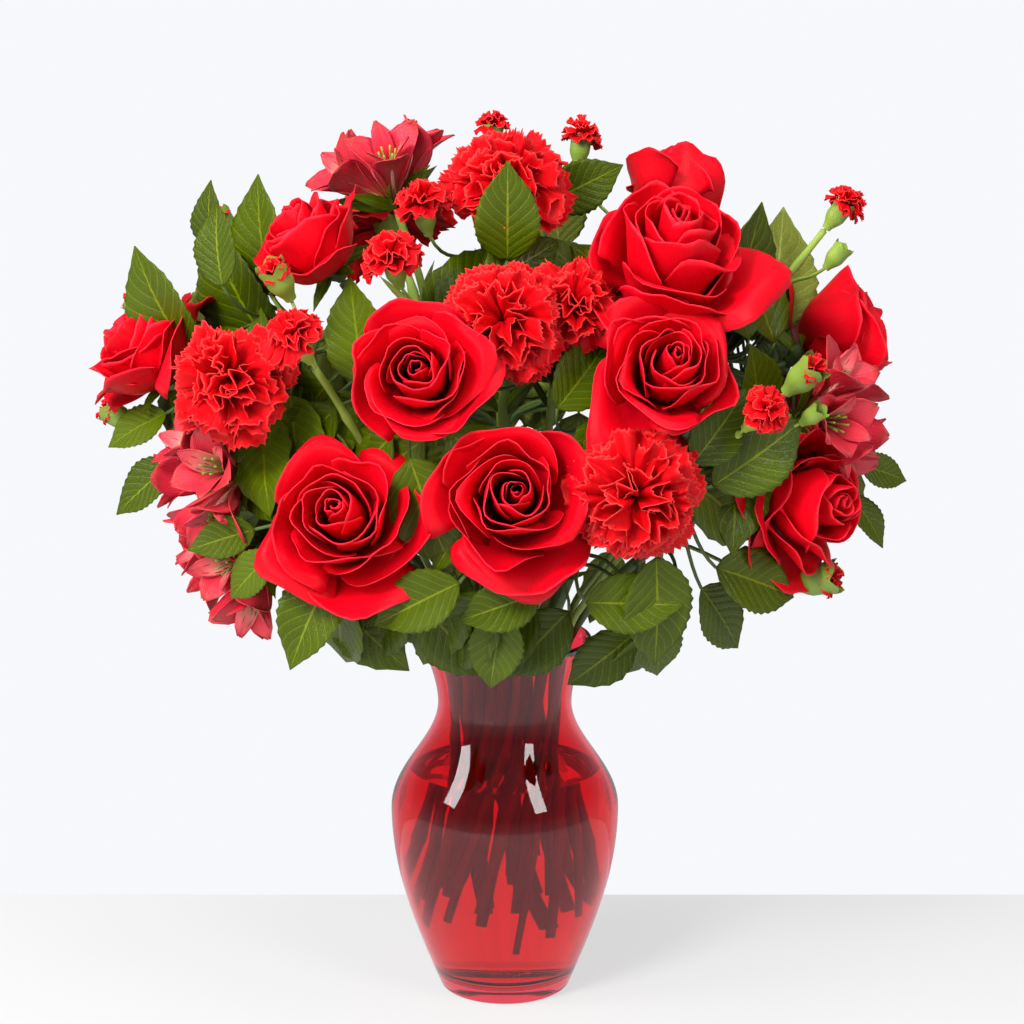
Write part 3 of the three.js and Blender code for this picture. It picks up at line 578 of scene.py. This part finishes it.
def carnation_bloom(sheets, centre, face, diameter, seed, petals, rows=8, columns=21):
    """A ball of fans: upright and crumpled at the heart, and spread flat at the rim."""
    rng = np.random.default_rng(seed)
    axes = axes_for(face)
    for i in range(petals):
        share = (i + 0.5) / petals
        lean = max(1.3 * share ** 0.6 + rng.normal(0, 0.06), 0.02)
        length = 0.42 + 0.035 * share + rng.normal(0, 0.032)
        fan = 0.12 + 0.13 * share + rng.normal(0, 0.018)
        shape = carnation_petal(lean, i * GOLDEN + rng.normal(0, 0.2), rng, length, fan, rows, columns)
        sheets.grid(centre + (shape * diameter) @ axes, rng.uniform(0.45, 1))


def tepal(turn, inner, rng, rows=12, columns=9):
    u = np.linspace(-1, 1, columns)[None, :]
    v = np.linspace(0, 1, rows)[:, None]
    broad = 0.13 if inner else 0.24
    width = broad * (0.22 + 0.78 * np.sin(np.clip(v, 0, 1) ** 1.35 * math.pi * 0.86) ** 0.8)
    width = width * (1 - 0.75 * smooth(v, 0.88, 1.0))
    lean = 0.32 if inner else 0.45
    curl = lean * v ** 1.4 + rng.normal(0, 0.05) * v
    outward = 0.04 + 0.5 * np.sin(curl) * v * 1.9
    upward = -0.75 + 0.98 * v * np.cos(curl * 0.9)
    cup = 0.35 * (u * width) ** 2 / broad
    ruffle = 0.012 * v ** 2 * np.sin(u * 5 + rng.uniform(0, 6))
    outward = outward - cup + ruffle
    across = width * u
    x = outward * math.cos(turn) - across * math.sin(turn)
    y = outward * math.sin(turn) + across * math.cos(turn)
    return np.stack([x, y, upward + 0 * u], -1)


def floret(petals, greens, centre, face, diameter, rng):
    axes = axes_for(face)
    start = rng.uniform(0, 6.28)
    for i in range(6):
        inner = i % 2 == 0
        shape = tepal(start + i * math.pi / 3, inner, rng) * diameter
        petals.grid(centre + shape @ axes, 0.95 if inner and i < 4 else rng.uniform(0, 0.12))
    for i in range(6):
        angle = start + 0.4 + i * math.pi / 3
        tip = np.array([0.11 * math.cos(angle), 0.11 * math.sin(angle), -0.02])
        line = spline([[0, 0, -0.6], tip * [0.5, 0.5, 1] + [0, 0, -0.25], tip], 8)
        tube(greens, centre + (line * diameter) @ axes, np.linspace(0.4, 0.6, 8) * MM, 6, 0.9)


# Leaves

BACK_FROM = 20 * MM


def leaf_frame(tip, base):
    """A leaf's length, width and upper side, which looks outward: forward, or back behind BACK_FROM."""
    along = unit(tip - base)
    looks = unit(np.array([tip[0], tip[1], 0])) + 0.5 * UP
    looks[1] += -1 if tip[1] < BACK_FROM else 1
    across = unit(np.cross(along, looks))
    return along, across, unit(np.cross(across, along))


def leaf(sheets, base, tip, rng, slender=1.0, rows=24, columns=13):
    """A pointed oval blade, folded a little at its midrib, with fine teeth and a gentle droop."""
    along, across, normal = leaf_frame(tip, base)
    length = np.linalg.norm(tip - base)
    u = np.linspace(-1, 1, columns)[None, :]
    v = np.linspace(0, 1, rows)[:, None]
    outline = np.sin(math.pi * v ** 0.78) ** 0.82 * (1 - 0.32 * smooth(v, 0.72, 1.0))
    teeth = 1 + 0.035 * (((np.arange(rows) % 2) * 2 - 1)[:, None]) * np.abs(u) ** 6
    width = length * LEAF_WIDTH / 2 * slender * np.clip(outline, 0.01, 1) * teeth
    fold = rng.uniform(0.12, 0.24) * np.abs(u) * width
    droop = length * rng.uniform(0.02, 0.07) * np.sin(math.pi * v)
    ripple = 0.02 * length * np.sin(v * rng.uniform(7, 11) + rng.uniform(0, 6)) * np.abs(u) ** 2 * outline
    quilt = 0.006 * length * np.cos(2 * math.pi * (9 * v - 2.5 * np.abs(u))) * (1 - np.abs(u)) * outline
    lifted = fold + droop + ripple + quilt
    points = (base + along * (length * v)[..., None] + across * (width * u)[..., None]
              + normal * lifted[..., None])
    sheets.grid(points, rng.uniform(0, 1))


def sweep(root, root_along, end, end_along, count=12):
    """A curve that leaves root along one direction and comes into end along another."""
    handle = 0.4 * np.linalg.norm(end - root)
    points = [root, root + root_along * handle, end - end_along * handle, end]
    return bezier(points, np.linspace(0, 1, count))


def stalk(sheets, path, end, end_along, radius):
    """A side stalk from the point of its stem that lies below its end and nearest to it."""
    below = end - end_along * 20 * MM - UP * 12 * MM
    gap = np.linalg.norm(path - below, axis=1)
    gap[path[:, 2] < VASE_HEIGHT + 15 * MM] = np.inf
    nearest = min(int(np.argmin(gap)), len(path) - 2)
    root, onward = path[nearest], unit(path[nearest + 1] - path[nearest])
    line = sweep(root, unit(onward + unit(end - root)), end, unit(end_along + unit(end - root)))
    tube(sheets, line, np.linspace(1.3, 0.9, len(line)) * radius, 7)


# Putting pieces together

def finish_piece(sheets, name, materials, thickness, replaced=()):
    piece = sheets.build(name, materials, thickness)
    if replaced:
        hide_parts(*replaced)
    return piece


def add_cup(sheets, foot, face, radius, length):
    """The green calyx under a flower: a tapering cup with five teeth that hug the petals."""
    axes = axes_for(face)
    rows, columns = 9, 20
    v = np.linspace(0, 1, rows)[:, None]
    angle = np.linspace(0, 2 * math.pi, columns, endpoint=False)[None, :]
    teeth = 0.16 * length * smooth(v, 0.7, 1) * np.abs(np.cos(2.5 * angle)) ** 1.5
    r = radius * (0.42 + 0.58 * smooth(v, 0.0, 0.55)) * (1 + 0.12 * smooth(v, 0.8, 1))
    z = -length * (1 - v) + teeth
    ring = np.stack([r * np.cos(angle), r * np.sin(angle), z + 0 * angle], -1)
    sheets.grid(foot + ring @ axes, 0.6, closed=True)


def add_sepals(sheets, foot, face, diameter, rng):
    """Five narrow green sepals that spread and droop under a rose."""
    axes = axes_for(face)
    for i in range(5):
        angle = i * 2 * math.pi / 5 + rng.uniform(-0.2, 0.2)
        out = np.array([math.cos(angle), math.sin(angle), rng.uniform(-0.5, 0.2)]) @ axes
        leaf(sheets, foot, foot + unit(out) * diameter * 0.36, rng, slender=0.45, rows=14, columns=7)


def stem_lengths(name, kind):
    """A stem's centreline and its radii, with the swollen joints of a carnation."""
    radius = STEM_RADIUS[kind] * MM
    path = centreline(f"{name}_stem", radius)
    radii = np.full(len(path), radius)
    if kind in ("carnation", "spray"):
        from_joint = (np.arange(len(path)) * STEM_STEP) % JOINT_GAP - JOINT_GAP / 2
        radii = radii * (1 + JOINT_SWELLING * np.exp(-(from_joint / JOINT_LENGTH) ** 2))
    return path, radii


paths = {}


def add_stem(sheets, name, kind, foot=None):
    path, radii = stem_lengths(name, kind)
    if foot is not None:
        path = np.vstack([path, foot])
        radii = np.append(radii, radii[-1])
    paths[name] = path
    tube(sheets, spline(path[::2] if len(path) > 20 else path, len(path)), radii)


def add_leaves(name, stem_sheets):
    if name not in LEAVES:
        return
    first = LEAVES[name][0]
    rng = np.random.default_rng(abs(first[0] * 7 + first[3]))
    blades = Sheets()
    for heading, lift, reach, length, clock, flare in LEAVES[name] + EXTRA_LEAVES.get(name, []):
        tip = on_dome(heading, lift, reach)
        along = on_surface(heading, lift, clock, flare)
        base = tip - along * length * MM
        leaf(blades, base, tip, rng)
        stalk(stem_sheets, paths[name], base, along, MM)
    finish_piece(blades, f"{name}_leaves", [LEAF, LEAF_UNDER], LEAF_SHEET)


def add_straps(blades, path, rng):
    """The narrow, curling leaves of a carnation stem, in pairs at its joints."""
    for i in range(5, len(path) - 3, 10):
        if path[i][2] < VASE_HEIGHT + 20 * MM:
            continue
        along = unit(path[i + 1] - path[i])
        for side in (-1, 1):
            out = unit(np.cross(along, [0.3, 0.8, 0.5])) * side
            tip = path[i] + (along * 0.8 + out * 0.6) * rng.uniform(24, 34) * MM
            leaf(blades, path[i], tip, rng, slender=0.2, rows=12, columns=5)


def add_roses():
    for i in range(1, 12):
        name = f"rose_{i:02d}"
        centre, face, diameter = bloom_place(name)
        foot = centre - face * ROSE_NECK * diameter
        rng = np.random.default_rng(SEEDS["sepals"] + i)
        petals, green, sepals = Sheets(), Sheets(), Sheets()
        rose_bloom(petals, centre, face, diameter, SEEDS["rose"] + i, HANGING.get(name, []))
        finish_piece(petals, f"{name}_petals", [ROSE], ROSE_SHEET, [f"{name}_bloom"])
        add_stem(green, name, "rose", foot)
        add_cup(green, foot + face * 3 * MM, face, 6.5 * MM, 11 * MM)
        add_leaves(name, green)
        finish_piece(green, f"{name}_stalk", [ROSE_STEM], 0, [f"{name}_stem"])
        add_sepals(sepals, foot, face, diameter, rng)
        finish_piece(sepals, f"{name}_sepals", [LEAF, LEAF_UNDER], LEAF_SHEET)


def add_carnations():
    for i in range(1, 7):
        name = f"carnation_{i}"
        centre, face, diameter = bloom_place(name)
        foot = centre - face * CARNATION_NECK * diameter
        petals, green, blades = Sheets(), Sheets(), Sheets()
        carnation_bloom(petals, centre, face, diameter, SEEDS["carnation"] + i, PETALS["carnation"])
        finish_piece(petals, f"{name}_petals", [CARNATION], CARNATION_SHEET, [f"{name}_bloom"])
        add_stem(green, name, "carnation", foot)
        add_cup(green, foot, face, 7.5 * MM, 24 * MM)
        add_leaves(name, green)
        add_straps(blades, paths[name], np.random.default_rng(SEEDS["straps"] + i))
        finish_piece(green, f"{name}_stalk", [PALE_STEM], 0, [f"{name}_stem"])
        if blades.count:
            finish_piece(blades, f"{name}_straps", [LEAF, LEAF_UNDER], 0.4 * MM)


LEAST_TUFT = 13


def add_bud(green, tips, name, place):
    """A closed bud: a green cup with a tuft of furled petals just showing."""
    heading, lift, reach, diameter = place
    centre = on_dome(heading, lift, reach)
    size = diameter * MM
    face = unit(centre - MOUTH)
    foot = centre - face * 0.4 * size
    radius = 0.42 * size
    add_cup(green, foot + face * 0.35 * size, face, radius, 1.2 * size)
    stalk(green, paths[name], foot - face * 0.7 * size, face, MM)
    if diameter > LEAST_TUFT:
        middle = foot + face * 0.35 * size
        seed = int(SEEDS["bud"] + heading)
        carnation_bloom(tips, middle, face, size * 1.15, seed, PETALS["bud"], 6, 13)


def add_sprays():
    opened = sorted(n for n in frame["nodes"] if n.startswith("spray") and "flower" in n)
    for i in range(1, 6):
        name = f"spray_{i}"
        green, tips = Sheets(), Sheets()
        add_stem(green, name, "spray")
        for flower in (n for n in opened if n.startswith(name)):
            centre, face, diameter = bloom_place(flower)
            foot = centre - face * CARNATION_NECK * diameter
            petals = Sheets()
            seed = SEEDS["spray"] + opened.index(flower)
            carnation_bloom(petals, centre, face, diameter, seed, PETALS["spray"], 7, 17)
            finish_piece(petals, f"{flower}_petals", [CARNATION], SMALL_SHEET, [flower])
            radius = min(5.5 * MM, 0.3 * diameter)
            add_cup(green, foot, face, radius, 16 * MM)
            stalk(green, paths[name], foot - face * 15 * MM, face, MM)
        for place in BUDS.get(name, []):
            add_bud(green, tips, name, place)
        finish_piece(green, f"{name}_stalk", [PALE_STEM], 0, [f"{name}_stem"])
        if tips.count:
            finish_piece(tips, f"{name}_tips", [CARNATION], SMALL_SHEET)


def add_umbels():
    for i in range(1, 5):
        name = f"alstroemeria_{i}"
        rng = np.random.default_rng(SEEDS["umbel"] + i)
        petals, green, blades = Sheets(), Sheets(), Sheets()
        heading, lift, reach = UMBELS[i - 1]
        face = direction(heading, lift)
        top = on_dome(heading, lift, reach) - face * UMBEL["stalk"] * UMBEL["set_back"] * MM
        add_stem(green, name, "alstroemeria", top)
        side = unit(np.cross(face, UP))
        above = unit(np.cross(side, face))
        for k in range(UMBEL["florets"]):
            angle = 2 * math.pi * k / UMBEL["florets"]
            turned = unit(face + UMBEL["spread"] * (math.cos(angle) * side + math.sin(angle) * above))
            centre = top + turned * UMBEL["stalk"] * MM
            size = UMBEL["diameter"] * MM
            line = spline([top, top + turned * 8 * MM, centre - turned * 0.7 * size], 8)
            tube(green, line, 1.1 * MM, 7)
            floret(petals, green, centre, turned, size * 1.12, rng)
        for k in range(7):
            angle = k * 2 * math.pi / 7
            out = unit(0.5 * face + math.cos(angle) * side + math.sin(angle) * above)
            leaf(blades, top, top + out * rng.uniform(26, 36) * MM, rng, slender=0.4, rows=14, columns=7)
        finish_piece(petals, f"{name}_florets", [ALSTROEMERIA], 0.4 * MM, [f"{name}_umbel"])
        finish_piece(green, f"{name}_stalk", [PALE_STEM], 0, [f"{name}_stem"])
        finish_piece(blades, f"{name}_ruff", [LEAF, LEAF_UNDER], 0.4 * MM)


def add_greens():
    for i in range(1, 5):
        name = f"green_{i}"
        green = Sheets()
        add_stem(green, name, "green")
        add_leaves(name, green)
        finish_piece(green, f"{name}_stalk", [ROSE_STEM], 0, [f"{name}_stem"])


def clears(points, crowd):
    """True if each point keeps off every bloom by most of that bloom's radius."""
    return all(np.linalg.norm(point - centre) > keep for point in points for centre, keep in crowd)


def scatter(rng, count, lifts, depths, lengths, crowd):
    """Leaves spread evenly round the dome, each as far out as it can be clear of the blooms."""
    for i in range(count):
        heading = math.degrees(i * GOLDEN) % 360
        lift = lifts[0] + (lifts[1] - lifts[0]) * ((i * 0.618) % 1)
        clock = rng.uniform(-75, 75) if lift > 0 else rng.uniform(115, 245)
        along = on_surface(heading, lift, clock, rng.uniform(15, 45))
        length = rng.uniform(*lengths) * MM
        for reach in np.linspace(depths[1], depths[0], 7):
            tip = on_dome(heading, lift, reach * rng.uniform(0.97, 1.03))
            base = tip - along * length
            if base[2] < VASE_HEIGHT + 6 * MM or tip[2] < VASE_HEIGHT - 8 * MM:
                continue
            if clears([base, (base + tip) / 2, tip], crowd):
                yield base, tip, along
                break


def add_filler():
    """Leaves deeper in the bouquet, a collar below the flowers, and a ruff over the mouth."""
    rng = np.random.default_rng(SEEDS["filler"])
    crowd = [(on_dome(*place[:3]), 0.5 * place[3] * MM) for place in BLOOMS.values()]
    crowd += [(on_dome(*place), 40 * MM) for place in UMBELS]
    owners = [n for n in paths if n.startswith(("green", "rose"))]
    for name, places in {
        "inner": scatter(rng, INNER_LEAVES, (-25, 74), (0.3, 0.9), (48, 66), crowd),
        "collar": scatter(rng, COLLAR_LEAVES, (-54, -14), (0.5, 0.96), (48, 68), crowd),
        "mouth": scatter(rng, MOUTH_LEAVES, (-78, -58), (0.7, 0.95), (34, 48), crowd),
    }.items():
        blades, green = Sheets(), Sheets()
        for base, tip, along in places:
            leaf(blades, base, tip, rng, rows=13, columns=7)
            owner = min(owners, key=lambda n: np.linalg.norm(paths[n] - base, axis=1).min())
            stalk(green, paths[owner], base, along, 0.9 * MM)
        finish_piece(blades, f"{name}_leaves", [LEAF, LEAF_UNDER], LEAF_SHEET)
        finish_piece(green, f"{name}_twigs", [ROSE_STEM], 0)


# The vase: a quarter sine to the belly, a half cosine to the neck and a power curve to the lip.

BELLY_AT, NECK_AT, WALL, FLOOR = 105 * MM, 166 * MM, 3.2 * MM, 9 * MM
FOOT_RADIUS, NECK_RADIUS, LIP_RADIUS = 36 * MM, 37 * MM, 48 * MM
BELLY_RADIUS = VASE_HIGH[0]
AXIS, CORNER, PUNT = 1e-5, 3 * MM, 0.4 * MM


def vase_radius(z):
    low = FOOT_RADIUS + (BELLY_RADIUS - FOOT_RADIUS) * np.sin(math.pi / 2 * np.clip(z / BELLY_AT, 0, 1))
    t = np.clip((z - BELLY_AT) / (NECK_AT - BELLY_AT), 0, 1)
    middle = NECK_RADIUS + (BELLY_RADIUS - NECK_RADIUS) * (1 + np.cos(math.pi * t)) / 2
    s = np.clip((z - NECK_AT) / (VASE_HEIGHT - NECK_AT), 0, 1)
    high = NECK_RADIUS + (LIP_RADIUS - NECK_RADIUS) * s ** 1.7
    return np.where(z <= BELLY_AT, low, np.where(z <= NECK_AT, middle, high))


def spin(sheets, profile, sides=112):
    angles = np.linspace(0, 2 * math.pi, sides, endpoint=False)
    rings = [[(r * math.cos(a), r * math.sin(a), z) for a in angles] for r, z in profile]
    sheets.grid(np.array(rings), closed=True)


def arc(centre_r, centre_z, radius, start, end, count=7):
    angles = np.radians(np.linspace(start, end, count))
    return [(centre_r + radius * math.cos(a), centre_z + radius * math.sin(a)) for a in angles]


def add_vase():
    """The glass, as one profile: under the foot, up the outside, over the lip and down the inside."""
    lip_height = VASE_HEIGHT - WALL / 2
    outer = [(float(vase_radius(z)), z) for z in np.linspace(CORNER, lip_height, 60)]
    lip = arc(LIP_RADIUS - WALL / 2, lip_height, WALL / 2, 20, 160)
    inner = [(float(vase_radius(z)) - WALL, z) for z in np.linspace(lip_height, FLOOR + CORNER, 56)]
    bottom = arc(float(vase_radius(FLOOR)) - WALL - CORNER, FLOOR + CORNER, CORNER, 0, -90)
    foot = arc(FOOT_RADIUS - CORNER + 1 * MM, CORNER, CORNER, -90, -10)
    sheets = Sheets()
    spin(sheets, [(AXIS, PUNT), (FOOT_RADIUS * 0.7, PUNT), *foot, *outer, *lip, *inner, *bottom,
                  (AXIS, FLOOR)])
    glass = sheets.build("vase_shell", [glass_material()])
    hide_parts("vase")


def add_water():
    """The water, a hair inside the glass, with a small climb where its top meets the wall."""
    gap = 0.25 * MM
    heights = np.linspace(FLOOR + 2.6 * MM, WATER_LEVEL, 40)
    side = [(float(vase_radius(z)) - WALL - gap, z) for z in heights]
    climb = [(side[-1][0] - 0.02 * MM, WATER_LEVEL + 0.5 * MM), (side[-1][0] - 1.5 * MM, WATER_LEVEL)]
    sheets = Sheets()
    spin(sheets, [(AXIS, FLOOR + gap), (side[0][0] - 2.5 * MM, FLOOR + gap), *side, *climb,
                  (AXIS, WATER_LEVEL)])
    water = sheets.build("vase_water", [water_material()])
    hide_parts("water")


# The studio

def add_stage():
    """A pale floor that ends just behind the vase, against a paler surround."""
    material, tree, shader = new_material("floor")
    texture = node(tree, "ShaderNodeTexCoord")
    noise = node(tree, "ShaderNodeTexNoise", {"Vector": texture.outputs["Object"], "Scale": 3})
    colour = ramp(tree, noise.outputs["Fac"], [(0.3, (0.2, 0.196, 0.196)), (0.7, (0.215, 0.21, 0.21))])
    tree.links.new(colour, shader.inputs["Base Color"])
    shader.inputs["Emission Color"].default_value = (1, 1, 1, 1)
    shader.inputs["Emission Strength"].default_value = 0.6
    shader.inputs["Roughness"].default_value = 0.6
    back, front, side = 0.134, -3.0, 3.0
    mesh = bpy.data.meshes.new("floor")
    corners = [(-side, front, 0), (side, front, 0), (side, back, 0), (-side, back, 0)]
    mesh.from_pydata(corners, [], [(0, 1, 2, 3)])
    mesh.materials.append(material)
    floor = bpy.data.objects.new("floor", mesh)
    bpy.context.scene.collection.objects.link(floor)


def add_light(name, place, size, power, mirrored=True, aim=(0, 0, 0.28)):
    """An area lamp. Only a mirrored one shows as a highlight, and none is seen through the glass."""
    lamp = bpy.data.lights.new(name, "AREA")
    lamp.shape, lamp.size, lamp.size_y = "RECTANGLE", size[0], size[1]
    lamp.energy = power
    made = bpy.data.objects.new(name, lamp)
    bpy.context.scene.collection.objects.link(made)
    made.location = place
    made.visible_glossy = mirrored
    made.visible_transmission = False
    made.rotation_euler = (Vector(aim) - Vector(place)).to_track_quat("-Z", "Y").to_euler()


def add_studio():
    """A pale surround. As a light it is bright low down and dim overhead, as in a studio."""
    world = bpy.data.worlds.new("studio")
    world.use_nodes = True
    tree = world.node_tree
    background = tree.nodes["Background"]
    path = node(tree, "ShaderNodeLightPath")
    seen = maths(tree, "MAXIMUM", path.outputs["Is Camera Ray"], path.outputs["Is Transmission Ray"])
    towards = node(tree, "ShaderNodeTexCoord").outputs["Generated"]
    height = node(tree, "ShaderNodeSeparateXYZ", {0: towards}).outputs["Z"]
    dim = ramp(tree, height, [(0.0, (0.5, 0.5, 0.5)), (0.08, (0.42, 0.42, 0.43)), (0.35, (0.15, 0.15, 0.155)),
                              (1.0, (0.22, 0.22, 0.225))])
    colour = mix(tree, seen, dim, (0.93, 0.94, 0.973))
    tree.links.new(colour, background.inputs["Color"])
    bpy.context.scene.world = world
    add_light("key", (-0.8, -1.25, 1.4), (0.5, 0.5), 42, mirrored=False)
    add_light("top", (0.1, -0.3, 1.6), (1.0, 1.0), 12, mirrored=False)
    add_light("window_left", (-1.15, -0.56, 1.2), (0.4, 0.8), 12)
    add_light("window_right", (0.82, -0.98, 1.2), (0.35, 0.8), 10)
    add_light("fill", (-0.8, -1.3, 0.5), (0.8, 0.8), 9, mirrored=False)
    bpy.context.scene.view_settings.view_transform = "Standard"


def add_camera():
    camera = bpy.data.objects.new("camera", bpy.data.cameras.new("camera"))
    bpy.context.scene.collection.objects.link(camera)
    elevation, distance = math.radians(13), 1.5
    target = np.array([0.004, 0, 0.273])
    back = np.array([0, -math.cos(elevation), math.sin(elevation)])
    camera.location = target + back * distance
    camera.rotation_euler = (math.pi / 2 - elevation, 0, 0)
    camera.data.lens = 96.5
    camera.data.sensor_width = 36
    bpy.context.scene.camera = camera


add_camera()
add_studio()
add_stage()
add_vase()
add_water()
add_roses()
add_carnations()
add_sprays()
add_umbels()
add_greens()
add_filler()
